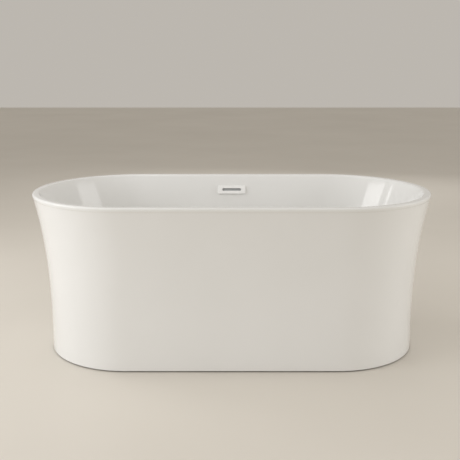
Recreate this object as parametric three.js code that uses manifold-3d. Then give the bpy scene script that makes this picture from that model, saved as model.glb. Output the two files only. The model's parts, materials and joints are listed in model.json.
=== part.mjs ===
// Freestanding oval bathtub: an acrylic basin bonded at its rim to a flared outer skirt, carried on a steel
// leg frame with five levelling feet. A slotted overflow, a click-clack drain and a low trap sit between the
// skins. Millimetres, +Z up. The origin is on the floor at the middle of the footprint. X runs along the bath
// and +Y points to its back, the side with the overflow.
import * as THREE from 'three';
import { mergeVertices } from 'three/addons/utils/BufferGeometryUtils.js';
import Module from 'manifold-3d';

const wasm = await Module();
wasm.setup();
const { Vector2, Vector3 } = THREE;
const radians = THREE.MathUtils.degToRad;

// ---------------------------------------------------------------- driving dimensions
const GAP = 0.3; // between pieces that touch
const PAST = 1; // how far a cutter runs past the face it opens, or a joined part into its neighbour
const tub = { length: 1500, width: 750, height: 600 };
const rim = { topWidth: 20, outerRadius: 7, innerRadius: 8, lipDepth: 16 };
const skirt = { wall: 5, flare: 58, flarePower: 2.7, floorGap: 4 };
const basin = {
  wall: 6, floorHeight: 175, floorFall: 3,
  endSlope: radians(22), sideSlope: radians(13), endFillet: 150, sideFillet: 110,
};
const bond = { height: 20, thickness: 3, drop: 3 };
const board = { thickness: 18, edge: 14, drainClearance: 13 };
const bar = { width: 30, height: 30, wall: 3, footInset: 25 };
const foot = {
  padRadius: 30, padHeight: 12, padChamfer: 2, padShoulder: 4, bossRadius: 12, bossHeight: 26,
  studRadius: 6, studDepth: 8, studChamfer: 1, holeClearance: 0.5,
  nutFlats: 19, adjusterHeight: 10, lockHeight: 8, lower: 3, wallClearance: 38,
};
const bracket = { width: 30, thickness: 3, height: 40, overlap: 22, clearance: 1 };
const drain = {
  throatRadius: 24.5, throatWall: 2.5, throatLength: 46, flangeReach: 10.5, flangeThickness: 2.5, chamfer: 1,
  holeClearance: 1.5, recess: 3, recessReach: 5, dishReach: 22, gasket: 1.5, washer: 2.5, washerInset: 2,
};
const plug = {
  capInset: 3, capHeight: 6.5, capEdge: 2.5, capChamfer: 1, sealInset: 1.5, sealWidth: 4, sealHeight: 2.5,
  spindleRadius: 4, spindleTail: 6, collarReach: 4, collarHeight: 3,
};
const cartridge = {
  wall: 2, height: 42, floor: 3, drop: 1, collarClearance: 0.5, spindleClearance: 0.4,
  armWidth: 4, armHeight: 6, armRise: 8,
};
const spring = { wireRadius: 0.9, turns: 6, stepsPerTurn: 10 };
const waste = {
  wall: 3.5, flangeReach: 5, flangeThickness: 5, throatClearance: 1, sump: 5,
  outletRadius: 20, outletWall: 3.5, outletLength: 12,
};
const hose = {
  outerRadius: 12, wall: 1.7, spigotWall: 2.5, nutReach: 4.5, nutLength: 24, nutClearance: 0.5,
  spigotReach: 80, clearance: 2.5, wallClearance: 1.5, bendShare: 0.6,
};
const overflow = {
  belowRim: 63, coverWidth: 118, coverHeight: 36, coverDepth: 7, coverWall: 2, slotWidth: 80, slotHeight: 10,
  plateWidth: 104, plateHeight: 24, plateThickness: 2, openingWidth: 98, openingHeight: 16,
  screwSpan: 45, screwRadius: 2, screwHeadRadius: 3.6, screwHeadHeight: 1.6, screwChamfer: 1, gasket: 2,
};
const channel = {
  width: 106, wall: 1.8, top: 20, narrowTo: -120, footHeight: 18, spigotLength: 20, windowInset: 1,
  clearance: 2,
};
const trap = {
  cupRadius: 50, wall: 3, floorClearance: 10, lidThickness: 5, dipRadius: 19, dipClearance: 8, spigotReach: 8,
  nutRadius: 28, nutLength: 18, outletRadius: 19.5, outletReach: 90, outletNutRadius: 26, outletNutLength: 24,
  pipeEnd: 200, weirRadius: 9.5, weirRise: 6, weirSetback: 2,
};
const SIDES = { large: 36, medium: 24, small: 16, tiny: 12 }; // of round pieces, by their size

// ---------------------------------------------------------------- materials
function finish(color, roughness, metalness = 0) {
  return new THREE.MeshStandardMaterial({ color, roughness, metalness });
}
const materials = {
  acrylic: finish(0xf2f1ed, 0.16),
  bond: finish(0xd8d5c8, 0.7),
  plywood: finish(0xb98f5c, 0.75),
  steel: finish(0xa9adb0, 0.45, 0.9),
  zinc: finish(0xc3c4bd, 0.35, 1),
  whitePlastic: finish(0xf4f4f2, 0.22),
  greyPlastic: finish(0xb9bcbd, 0.5),
  pipePlastic: finish(0xe9e9e6, 0.4),
  rubber: finish(0x2b2b2b, 0.85),
  chrome: finish(0xd9dcde, 0.08, 1),
};

// ---------------------------------------------------------------- solids and cuts
// A closed geometry as a solid whose faces point out.
function solid(geometry) {
  const bare = geometry.index ? geometry.toNonIndexed() : geometry.clone();
  bare.deleteAttribute('normal');
  bare.deleteAttribute('uv');
  const merged = mergeVertices(bare, 1e-3);
  const triVerts = new Uint32Array(merged.index.array);
  const vertProperties = merged.attributes.position.array;
  const made = new wasm.Manifold(new wasm.Mesh({ numProp: 3, vertProperties, triVerts }));
  if (made.volume() > 0) return made;
  for (let i = 0; i < triVerts.length; i += 3) triVerts.subarray(i + 1, i + 3).reverse();
  return new wasm.Manifold(new wasm.Mesh({ numProp: 3, vertProperties, triVerts }));
}

function geometryOf(made) {
  const { numProp, vertProperties, triVerts } = made.getMesh();
  const geometry = new THREE.BufferGeometry();
  const position = new Float32Array((vertProperties.length / numProp) * 3);
  for (let i = 0; i * numProp < vertProperties.length; i++) {
    position.set(vertProperties.subarray(i * numProp, i * numProp + 3), i * 3);
  }
  geometry.setAttribute('position', new THREE.BufferAttribute(position, 3));
  geometry.setIndex(new THREE.BufferAttribute(new Uint32Array(triVerts), 1));
  geometry.computeVertexNormals();
  return geometry;
}

const joined = (...geometries) => geometries.map(solid).reduce((all, next) => all.add(next));
const cut = (made, ...geometries) => geometries.map(solid).reduce((left, next) => left.subtract(next), made);

// A turned piece about the Z axis, from points [radius, height].
function turned(points, segments = SIDES.medium) {
  return new THREE.LatheGeometry(points.map(([r, z]) => new Vector2(r, z)), segments).rotateX(Math.PI / 2);
}

// A turned ring of a rectangular section.
function turnedRing(inner, outer, low, high, segments = SIDES.medium) {
  return turned([[inner, low], [outer, low], [outer, high], [inner, high], [inner, low]], segments);
}

// A plain cylinder about the Z axis from low to high.
function rod(radius, low, high, segments = SIDES.medium) {
  return new THREE.CylinderGeometry(radius, radius, high - low, segments)
    .rotateX(Math.PI / 2)
    .translate(0, 0, (low + high) / 2);
}

// A box from its low to its high corner.
function block([x0, y0, z0], [x1, y1, z1]) {
  const box = new THREE.BoxGeometry(x1 - x0, y1 - y0, z1 - z0);
  return box.translate((x0 + x1) / 2, (y0 + y1) / 2, (z0 + z1) / 2);
}

// Turns a piece built about +Z so that it lies along +Y, or along +X.
const alongY = (geometry) => geometry.rotateX(-Math.PI / 2);
const alongX = (geometry) => geometry.rotateY(Math.PI / 2);

// A hexagonal prism with a round hole, standing on z = low.
function hexNut(flats, holeRadius, low, height) {
  const corner = flats / 2 / Math.cos(Math.PI / 6);
  const corners = Array.from({ length: 6 }, (_, i) =>
    new Vector2(Math.cos((i * Math.PI) / 3), Math.sin((i * Math.PI) / 3)).multiplyScalar(corner));
  const outline = new THREE.Shape(corners);
  outline.holes.push(new THREE.Path().absarc(0, 0, holeRadius, 0, 2 * Math.PI, true));
  const options = { depth: height, bevelEnabled: false, curveSegments: 8 };
  return new THREE.ExtrudeGeometry(outline, options).translate(0, 0, low);
}

// ---------------------------------------------------------------- the assembly
const bath = new THREE.Group();

function add(name, material, shape, parent = bath) {
  const geometry = shape.isBufferGeometry ? geometryOf(solid(shape)) : geometryOf(shape);
  const mesh = new THREE.Mesh(geometry, material);
  mesh.name = name;
  parent.add(mesh);
  return mesh;
}

// ---------------------------------------------------------------- stadium-shaped shells
// A level is one closed outline at height z: half length a, half width b, with half circles of radius b as
// its ends.
const CAP_STEPS = 16;
const outlineAngles = [1, -1].flatMap((side) =>
  Array.from({ length: CAP_STEPS + 1 }, (_, i) => ({
    side, phi: (side > 0 ? -Math.PI / 2 : Math.PI / 2) + (Math.PI * i) / CAP_STEPS,
  })));

// The points of level i, moved by offset along the surface normal: away from the middle on a wall, down on a
// floor.
function outline(levels, i, offset) {
  const { a, b, z } = levels[i];
  const before = levels[Math.max(i - 1, 0)];
  const after = levels[Math.min(i + 1, levels.length - 1)];
  const [da, db, dz] = [after.a - before.a, after.b - before.b, after.z - before.z];
  return outlineAngles.map(({ side, phi }) => {
    const [cos, sin] = [Math.cos(phi), Math.sin(phi)];
    const around = new Vector3(-sin, cos, 0);
    const along = new Vector3(side * (da - db) + db * cos, db * sin, dz);
    const normal = around.cross(along).normalize();
    return new Vector3(side * (a - b) + b * cos, b * sin, z).addScaledVector(normal, offset);
  });
}

// A shell between the surface through the levels at two offsets, closed along its first and last level.
function shell(levels, offsetA, offsetB) {
  const rings = levels.map((_, i) => outline(levels, i, offsetA));
  for (let i = levels.length - 1; i >= 0; i--) rings.push(outline(levels, i, offsetB));
  const count = outlineAngles.length;
  const index = [];
  rings.forEach((_, i) => {
    const [here, next] = [i * count, ((i + 1) % rings.length) * count];
    for (let j = 0; j < count; j++) {
      const k = (j + 1) % count;
      index.push(here + j, here + k, next + k, here + j, next + k, next + j);
    }
  });
  const geometry = new THREE.BufferGeometry().setFromPoints(rings.flat());
  return geometry.setIndex(index);
}

// ---------------------------------------------------------------- outer profile
const edgeHeight = tub.height - rim.outerRadius;
const lipBottom = tub.height - rim.lipDepth;
const flareAngle = Math.atan((skirt.flare * skirt.flarePower) / edgeHeight);

// How far the outside stands outside the footprint at height z.
const flareAt = (z) => skirt.flare * Math.min(z / edgeHeight, 1) ** skirt.flarePower;

// How far the flat facets of the rounded ends cut inside the true curve.
const facetSag = (tub.width / 2) * (1 - Math.cos(Math.PI / (2 * CAP_STEPS)));

// The level of the outside at height z, moved in by inset.
function outsideLevel(z, inset = 0) {
  const proud = flareAt(z) - skirt.flare - inset;
  return { a: tub.length / 2 + proud, b: tub.width / 2 + proud, z };
}

// Half width of the space inside the skirt at height z, and the same at a place x along the bath.
const skirtInnerHalf = (z) => outsideLevel(z).b - skirt.wall / Math.cos(flareAngle);
function skirtInnerAt(x, z) {
  const level = outsideLevel(z, skirt.wall / Math.cos(flareAngle));
  const past = Math.max(Math.abs(x) - (level.a - level.b), 0);
  return Math.sqrt(level.b ** 2 - past ** 2) - facetSag;
}

// ---------------------------------------------------------------- basin profile
// Half extent of the basin's inside at height z: a rounded edge under the rim, a straight wall that leans by
// slope, and a fillet into the floor.
function insideHalf(z, outerHalf, slope, fillet) {
  const edgeX = outerHalf - rim.topWidth;
  const edgeR = rim.innerRadius;
  const wallTop = tub.height - edgeR * (1 - Math.sin(slope));
  const wallFoot = basin.floorHeight + fillet * (1 - Math.sin(slope));
  const wallX = (height) => edgeX - edgeR * Math.cos(slope) - (wallTop - height) * Math.tan(slope);
  if (z > wallTop) return edgeX - Math.sqrt(Math.max(edgeR ** 2 - (z - tub.height + edgeR) ** 2, 0));
  if (z > wallFoot) return wallX(z);
  const floorEdge = wallX(wallFoot) - fillet * Math.cos(slope);
  const drop = basin.floorHeight + fillet - z;
  return floorEdge + Math.sqrt(Math.max(fillet ** 2 - drop ** 2, 0));
}
const insideLevel = (z) => ({
  a: insideHalf(z, tub.length / 2, basin.endSlope, basin.endFillet),
  b: insideHalf(z, tub.width / 2, basin.sideSlope, basin.sideFillet),
  z,
});

const holeRadius = drain.throatRadius + drain.holeClearance;
const flangeRadius = drain.throatRadius + drain.flangeReach;
const recessRadius = flangeRadius + drain.recessReach;
const dishRadius = recessRadius + drain.dishReach;
const dishHeight = basin.floorHeight - basin.floorFall;
const seatHeight = dishHeight - drain.recess;
const floorUnderside = dishHeight - basin.wall;

function basinLevels() {
  const circle = (r, z) => ({ a: r, b: r, z });
  const levels = [
    circle(holeRadius, seatHeight),
    circle(recessRadius, seatHeight),
    circle(dishRadius, dishHeight),
  ];
  const filletSteps = 5;
  for (let i = 0; i <= filletSteps; i++) {
    const turn = ((Math.PI / 2 - basin.sideSlope) * i) / filletSteps;
    levels.push(insideLevel(basin.floorHeight + basin.sideFillet * (1 - Math.cos(turn))));
  }
  levels.push(insideLevel(basin.floorHeight + basin.endFillet * (1 - Math.sin(basin.endSlope))));
  levels.push(insideLevel((basin.floorHeight + tub.height) / 2));
  const edgeSteps = 3;
  for (let i = 0; i <= edgeSteps; i++) {
    const turn = basin.sideSlope + ((Math.PI / 2 - basin.sideSlope) * i) / edgeSteps;
    levels.push(insideLevel(tub.height - rim.innerRadius * (1 - Math.sin(turn))));
  }
  for (let i = 0; i <= edgeSteps; i++) {
    const turn = (Math.PI / 2) * (1 - i / edgeSteps);
    const inset = rim.outerRadius * (1 - Math.cos(turn));
    const z = edgeHeight + rim.outerRadius * Math.sin(turn);
    levels.push({ a: tub.length / 2 - inset, b: tub.width / 2 - inset, z });
  }
  levels.push(outsideLevel(lipBottom));
  return levels;
}

// ---------------------------------------------------------------- overflow frame
// The overflow is built in the plane of the back wall: x along the bath, y out through the wall, z up the
// wall. y = 0 is the wall's inner face.
const overflowHeight = tub.height - overflow.belowRim;
const wallY = insideLevel(overflowHeight).b;
const overflowFrame = new THREE.Group();
overflowFrame.position.set(0, wallY, overflowHeight);
overflowFrame.rotation.x = -basin.sideSlope;
overflowFrame.updateMatrix();
bath.add(overflowFrame);

// A box centred on the overflow's middle, between two depths.
function centredBlock(width, height, y0, y1) {
  return block([-width / 2, y0, -height / 2], [width / 2, y1, height / 2]);
}

function makeShells() {
  const basinShell = solid(shell(basinLevels(), 0, basin.wall));
  const reach = 2 * basin.wall;
  const opening = centredBlock(overflow.openingWidth, overflow.openingHeight, -reach, reach);
  add('basin_shell', materials.acrylic, cut(basinShell, opening.applyMatrix4(overflowFrame.matrix)));

  const skirtSteps = 7;
  const skirtTop = lipBottom - GAP;
  const skirtLevels = Array.from({ length: skirtSteps + 1 }, (_, i) =>
    outsideLevel(skirt.floorGap + ((skirtTop - skirt.floorGap) * i) / skirtSteps));
  add('outer_skirt', materials.acrylic, shell(skirtLevels, 0, -skirt.wall));

  const bondInset = Math.max(basin.wall, skirt.wall) / Math.cos(flareAngle) + 2 * GAP;
  const bondMiddle = lipBottom - bond.drop;
  const bondLevels = [-1, 0, 1].map((side) =>
    outsideLevel(bondMiddle + (side * bond.height) / 2, bondInset));
  add('rim_bond_strip', materials.bond, shell(bondLevels, 0, -bond.thickness));
}

// ---------------------------------------------------------------- board and leg frame
const floorLevel = insideLevel(basin.floorHeight);
const boardTop = floorUnderside - GAP;
const boardBottom = boardTop - board.thickness;
const barTop = boardBottom - GAP;
const barBottom = barTop - bar.height;
const boardHalf = { x: floorLevel.a - board.edge, y: floorLevel.b - board.edge };
const legX = boardHalf.x - 2 * bar.width;
const footY = skirtInnerHalf(0) - foot.padRadius - foot.wallClearance;
const railY = boardHalf.y - bar.width;
const crossX = dishRadius + 2 * bar.width + board.drainClearance;

function makeBoard() {
  const straight = boardHalf.x - boardHalf.y;
  const edge = new THREE.Shape();
  edge.absarc(straight, 0, boardHalf.y, -Math.PI / 2, Math.PI / 2);
  edge.absarc(-straight, 0, boardHalf.y, Math.PI / 2, (3 * Math.PI) / 2);
  edge.holes.push(new THREE.Path().absarc(0, 0, dishRadius + board.drainClearance, 0, 2 * Math.PI, true));
  const options = { depth: board.thickness, bevelEnabled: false, curveSegments: 8 };
  add('base_board', materials.plywood, new THREE.ExtrudeGeometry(edge, options).translate(0, 0, boardBottom));
}

// A C-section bar along Y, centred, open towards +X, with stud holes through its lower flange.
function channelBar(length, holeYs = []) {
  const [w, h, t] = [bar.width / 2, bar.height / 2, bar.wall];
  const section = new THREE.Shape([
    [-w, -h], [w, -h], [w, -h + t], [-w + t, -h + t], [-w + t, h - t], [w, h - t], [w, h], [-w, h],
  ].map(([x, y]) => new Vector2(x, y)));
  const body = new THREE.ExtrudeGeometry(section, { depth: length, bevelEnabled: false });
  body.translate(0, 0, -length / 2).rotateX(Math.PI / 2).translate(0, 0, barTop - h);
  const holes = holeYs.map((y) =>
    rod(foot.studRadius + foot.holeClearance, barBottom - PAST, barBottom + t + PAST, SIDES.small)
      .translate(0, y, 0));
  return geometryOf(cut(solid(body), ...holes));
}

const railLength = 2 * (legX - bar.width / 2 - GAP);
const crossLength = 2 * (railY - bar.width / 2 - GAP);

function makeFrame() {
  const legLength = 2 * (footY + bar.footInset);
  for (const [side, sign] of [['left', -1], ['right', 1]]) {
    const turn = sign < 0 ? Math.PI : 0;
    const leg = channelBar(legLength, [-footY, footY]).rotateZ(turn);
    add(`leg_bar_${side}`, materials.steel, leg).position.x = sign * legX;
    const crossBar = channelBar(crossLength, sign < 0 ? [0] : []).rotateZ(turn);
    add(`cross_bar_${side}`, materials.steel, crossBar).position.x = sign * crossX;
  }
  for (const [side, sign] of [['front', -1], ['back', 1]]) {
    const rail = channelBar(railLength).rotateZ((sign * Math.PI) / 2);
    add(`rail_${side}`, materials.steel, rail).position.y = sign * railY;
  }
}

// L brackets from the leg bars' ends to the skirt.
function makeBrackets() {
  const low = barTop + GAP;
  const inner = footY + bar.footInset - bracket.overlap;
  const outer = skirtInnerAt(legX + bracket.width / 2, low) - bracket.clearance;
  const w = bracket.width / 2;
  for (const [front, ySign] of [['front', -1], ['back', 1]]) {
    for (const [side, xSign] of [['left', -1], ['right', 1]]) {
      const shelf = block([-w, inner, low], [w, outer, low + bracket.thickness]);
      const tab = block([-w, outer - bracket.thickness, low], [w, outer, low + bracket.height]);
      const shape = geometryOf(joined(shelf, tab));
      if (ySign < 0) shape.rotateZ(Math.PI);
      add(`skirt_bracket_${front}_${side}`, materials.zinc, shape).position.x = xSign * legX;
    }
  }
}

// ---------------------------------------------------------------- levelling feet
const adjusterTop = barBottom - GAP;
const lockBottom = barBottom + bar.wall + GAP;
const studTop = barTop - bar.wall - foot.lower - 2 * GAP;

function makeFoot(name, x, y) {
  const holeRadius = foot.studRadius + GAP;
  const socket = foot.padHeight - foot.studDepth;
  const adjusterLow = adjusterTop - foot.adjusterHeight;
  const padProfile = [
    [0, 0], [foot.padRadius - foot.padChamfer, 0], [foot.padRadius, foot.padChamfer],
    [foot.padRadius, foot.padHeight - foot.padShoulder], [foot.bossRadius + foot.padChamfer, foot.padHeight],
    [foot.bossRadius, foot.bossHeight], [holeRadius, foot.bossHeight], [holeRadius, socket], [0, socket],
  ];
  const studProfile = [
    [0, socket + GAP], [foot.studRadius, socket + GAP], [foot.studRadius, studTop - foot.studChamfer],
    [foot.studRadius - foot.studChamfer, studTop], [0, studTop],
  ];
  const pieces = [
    ['foot_pad', materials.greyPlastic, turned(padProfile)],
    ['foot_stud', materials.zinc, turned(studProfile, SIDES.small)],
    ['adjuster_nut', materials.zinc, hexNut(foot.nutFlats, holeRadius, adjusterLow, foot.adjusterHeight)],
    ['lock_nut', materials.zinc, hexNut(foot.nutFlats, holeRadius, lockBottom, foot.lockHeight)],
  ];
  for (const [piece, material, shape] of pieces) {
    add(`${piece}_${name}`, material, shape).position.set(x, y, 0);
  }
}

function makeFeet() {
  makeFoot('front_left', -legX, -footY);
  makeFoot('front_right', legX, -footY);
  makeFoot('back_left', -legX, footY);
  makeFoot('back_right', legX, footY);
  makeFoot('centre', -crossX, 0);
}

// ---------------------------------------------------------------- drain
const gasketLow = seatHeight + GAP;
const flangeLow = gasketLow + drain.gasket + GAP;
const flangeTop = flangeLow + drain.flangeThickness;
const throatInner = drain.throatRadius - drain.throatWall;
const bodyFlangeRadius = flangeRadius + waste.flangeReach;
const washerRadius = bodyFlangeRadius - drain.washerInset;
const throatLow = flangeLow - drain.throatLength;
const sealLow = flangeTop + GAP;
const capLow = sealLow + plug.sealHeight + GAP;
const washerTop = seatHeight - basin.wall - GAP;
const bodyTop = washerTop - drain.washer - GAP;
const bodyInner = drain.throatRadius + waste.throatClearance;
const bodyOuter = bodyInner + waste.wall;
const inletHeight = barBottom - hose.outerRadius - hose.clearance;
const spigotRadius = hose.outerRadius - hose.wall - GAP;
const nutRadius = hose.outerRadius + hose.nutReach;
const bodyLow = inletHeight - spigotRadius - waste.sump;
const outletLow = bodyLow - waste.outletLength;
const outletInner = waste.outletRadius - waste.outletWall;
const cartridgeLow = throatLow - cartridge.drop;
const collarRadius = plug.spindleRadius + plug.collarReach;
const sleeveInner = collarRadius + cartridge.collarClearance;
const springLow = cartridgeLow + cartridge.floor + GAP;
const springTop = springLow + cartridge.height / 2;
const collarLow = springTop + GAP;

function makeDrain() {
  const chamfer = drain.chamfer;
  const flange = turned([
    [throatInner, throatLow], [drain.throatRadius, throatLow], [drain.throatRadius, flangeLow],
    [flangeRadius, flangeLow], [flangeRadius, flangeTop - chamfer], [flangeRadius - chamfer, flangeTop],
    [throatInner + chamfer, flangeTop], [throatInner, flangeTop - chamfer], [throatInner, throatLow],
  ], SIDES.large);
  add('drain_flange', materials.chrome, flange);
  const gasket = turnedRing(holeRadius, flangeRadius - chamfer, gasketLow, gasketLow + drain.gasket);
  add('drain_gasket', materials.rubber, gasket);
  const washer = turnedRing(holeRadius, washerRadius, washerTop - drain.washer, washerTop);
  add('drain_washer', materials.rubber, washer);

  const body = turned([
    [bodyInner, bodyTop], [bodyFlangeRadius, bodyTop], [bodyFlangeRadius, bodyTop - waste.flangeThickness],
    [bodyOuter, bodyTop - 2 * waste.flangeThickness], [bodyOuter, bodyLow], [waste.outletRadius, bodyLow],
    [waste.outletRadius, outletLow], [outletInner, outletLow], [outletInner, bodyLow + waste.wall],
    [bodyInner, bodyLow + waste.wall], [bodyInner, bodyTop],
  ]);
  const pipe = (radius, y0, y1) => alongY(rod(radius, y0, y1, SIDES.small)).translate(0, 0, inletHeight);
  const spigot = pipe(spigotRadius, bodyInner + PAST, hose.spigotReach);
  const bore = pipe(spigotRadius - hose.spigotWall, 0, hose.spigotReach + PAST);
  add('waste_body', materials.pipePlastic, cut(joined(body, spigot), bore));

  makeCartridge();
}

// The sleeve that guides the spindle, held in the throat by four arms.
function makeCartridge() {
  const sleeveOuter = sleeveInner + cartridge.wall;
  const boreRadius = plug.spindleRadius + cartridge.spindleClearance;
  const cartridgeTop = cartridgeLow + cartridge.height;
  const floorTop = cartridgeLow + cartridge.floor;
  const sleeve = turned([
    [boreRadius, cartridgeLow], [sleeveOuter, cartridgeLow], [sleeveOuter, cartridgeTop],
    [sleeveInner, cartridgeTop], [sleeveInner, floorTop], [boreRadius, floorTop], [boreRadius, cartridgeLow],
  ]);
  const armLow = throatLow + cartridge.armRise;
  const armTop = armLow + cartridge.armHeight;
  const armHalf = cartridge.armWidth / 2;
  const arms = [0, 1, 2, 3].map((i) => {
    const arm = block([sleeveOuter - PAST, -armHalf, armLow], [throatInner - GAP, armHalf, armTop]);
    return arm.rotateZ((i * Math.PI) / 2);
  });
  add('drain_cartridge', materials.greyPlastic, joined(sleeve, ...arms));
}

// The helix of the plug's spring, between the cartridge's floor and the spindle's collar.
class SpringPath extends THREE.Curve {
  getPoint(t, target = new Vector3()) {
    const radius = (plug.spindleRadius + sleeveInner) / 2;
    const turn = 2 * Math.PI * spring.turns * t;
    const low = springLow + spring.wireRadius + GAP;
    const high = springTop - spring.wireRadius - GAP;
    return target.set(radius * Math.cos(turn), radius * Math.sin(turn), low + (high - low) * t);
  }
}

function makePlug() {
  const capTop = capLow + plug.capHeight;
  const capRadius = flangeRadius - plug.capInset;
  const domeLow = capLow + plug.capEdge;
  const sealInner = throatInner + plug.sealInset;
  const cap = [
    [0, capLow], [capRadius - plug.capChamfer, capLow], [capRadius, capLow + plug.capChamfer],
    [capRadius, domeLow],
  ];
  const domeSteps = 5;
  for (let i = 1; i < domeSteps; i++) {
    const turn = ((Math.PI / 2) * i) / domeSteps;
    cap.push([capRadius * Math.cos(turn), domeLow + (capTop - domeLow) * Math.sin(turn)]);
  }
  cap.push([0, capTop]);
  add('plug_cap', materials.whitePlastic, turned(cap, SIDES.large));
  add('plug_seal', materials.rubber, turnedRing(sealInner, sealInner + plug.sealWidth, sealLow,
    sealLow + plug.sealHeight));
  const spindleLow = cartridgeLow - plug.spindleTail;
  const collarTop = collarLow + plug.collarHeight;
  add('plug_spindle', materials.chrome, turned([
    [0, spindleLow], [plug.spindleRadius, spindleLow], [plug.spindleRadius, collarLow],
    [collarRadius, collarLow], [collarRadius, collarTop], [plug.spindleRadius, collarTop],
    [plug.spindleRadius, capLow - GAP], [0, capLow - GAP],
  ], SIDES.small));

  const wire = new THREE.Shape().absarc(0, 0, spring.wireRadius, 0, 2 * Math.PI);
  const steps = spring.turns * spring.stepsPerTurn;
  const options = { steps, extrudePath: new SpringPath(), curveSegments: 3, bevelEnabled: false };
  add('plug_spring', materials.zinc, new THREE.ExtrudeGeometry(wire, options));
}

// ---------------------------------------------------------------- overflow
// How far out from the wall's inner face the skirt's inside is, at a local height z of the overflow's frame.
// Each round measures the skirt at the height that the last round's depth comes to.
function roomAt(z) {
  const rounds = 8;
  const [sin, cos] = [Math.sin(basin.sideSlope), Math.cos(basin.sideSlope)];
  let y = 0;
  for (let i = 0; i < rounds; i++) {
    y = (skirtInnerHalf(overflowHeight - y * sin + z * cos) - wallY - z * sin) / cos;
  }
  return y;
}

// The first local height at or below start where the skirt leaves a room this deep.
function whereRoom(depth, start) {
  let z = start;
  while (roomAt(z) < depth + channel.clearance) z -= 1;
  return z;
}

const channelFront = basin.wall + GAP + overflow.gasket + GAP;
const channelBack = Math.min(roomAt(channel.top), roomAt(0), roomAt(-channel.top)) - channel.clearance;
const hoseAxisY = basin.wall + nutRadius + hose.wallClearance;
const channelDeep = hoseAxisY + hose.outerRadius + channel.wall;
const deepFrom = whereRoom(channelDeep, channel.narrowTo);
const channelBottom = deepFrom - channel.footHeight;
const spigotEnd = Math.min(
  channelBottom - channel.spigotLength,
  whereRoom(hoseAxisY + nutRadius, channelBottom) - hose.nutLength / 2,
);

function makeOverflowFace() {
  const face = -GAP - overflow.coverDepth;
  const inside = 2 * overflow.coverWall;
  const cover = cut(
    solid(centredBlock(overflow.coverWidth, overflow.coverHeight, face, -GAP)),
    centredBlock(overflow.coverWidth - inside, overflow.coverHeight - inside, face + overflow.coverWall, 0),
    centredBlock(overflow.slotWidth, overflow.slotHeight, face - PAST, 0),
  );
  add('overflow_cover', materials.whitePlastic, cover, overflowFrame);

  const plateFace = -GAP - overflow.plateThickness;
  const plate = cut(
    solid(centredBlock(overflow.plateWidth, overflow.plateHeight, plateFace, -GAP)),
    centredBlock(overflow.slotWidth, overflow.slotHeight, face, 0), ...screwHoles(face, 0),
  );
  add('overflow_plate', materials.greyPlastic, plate, overflowFrame);

  const headLow = plateFace - GAP;
  const screwEnd = channelFront + channel.wall - GAP;
  for (const [side, sign] of [['left', -1], ['right', 1]]) {
    const screw = add(`overflow_screw_${side}`, materials.zinc, screwShape(headLow, screwEnd), overflowFrame);
    screw.position.x = sign * overflow.screwSpan;
  }

  const gasketLowY = basin.wall + GAP;
  const gasket = cut(
    solid(centredBlock(channel.width, 2 * channel.top, gasketLowY, gasketLowY + overflow.gasket)),
    centredBlock(overflow.openingWidth, overflow.openingHeight, 0, gasketLowY + overflow.gasket + PAST),
  );
  add('overflow_gasket', materials.rubber, gasket, overflowFrame);
}

// Holes for the two screws, between two depths.
function screwHoles(y0, y1) {
  return [-1, 1].map((side) =>
    alongY(rod(overflow.screwRadius + GAP, y0, y1, SIDES.tiny)).translate(side * overflow.screwSpan, 0, 0));
}

// A screw along Y: a domed head in front of headLow, and a shank to end.
function screwShape(headLow, end) {
  const { screwRadius, screwHeadRadius, screwHeadHeight, screwChamfer } = overflow;
  const profile = [
    [0, headLow - screwHeadHeight], [screwHeadRadius - screwChamfer, headLow - screwHeadHeight],
    [screwHeadRadius, headLow - screwHeadHeight / 2], [screwHeadRadius, headLow], [screwRadius, headLow],
    [screwRadius, end - screwChamfer], [screwRadius - screwChamfer, end], [0, end],
  ];
  return alongY(turned(profile, SIDES.tiny));
}

// The flat duct behind the wall: thin between the skins, deeper at its foot, where the hose spigot leaves it.
function makeChannel() {
  const side = (inset) => [
    [channelFront + inset, channel.top - inset], [channelBack - inset, channel.top - inset],
    [channelBack - inset, channel.narrowTo], [channelDeep - inset, deepFrom],
    [channelDeep - inset, channelBottom + inset], [channelFront + inset, channelBottom + inset],
  ];
  const duct = (inset) => {
    const width = channel.width - 2 * inset;
    const section = new THREE.Shape(side(inset).map(([y, z]) => new Vector2(y, z)));
    const body = new THREE.ExtrudeGeometry(section, { depth: width, bevelEnabled: false });
    return body.rotateX(Math.PI / 2).rotateZ(Math.PI / 2).translate(-width / 2, 0, 0);
  };
  const pipe = (radius, low, high) => rod(radius, low, high, SIDES.small).translate(0, hoseAxisY, 0);
  const spigot = pipe(spigotRadius, spigotEnd, channelBottom + channel.wall / 2);
  const bore = pipe(spigotRadius - hose.spigotWall, spigotEnd - PAST, channelBottom + channel.wall + PAST);
  const inside = channelFront + channel.wall + PAST;
  const windowHeight = overflow.openingHeight - 2 * channel.windowInset;
  const window = centredBlock(overflow.slotWidth, windowHeight, 0, inside);
  const made = cut(joined(duct(0), spigot), duct(channel.wall), bore, window, ...screwHoles(0, inside));
  add('overflow_channel', materials.greyPlastic, made, overflowFrame);
}

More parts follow.
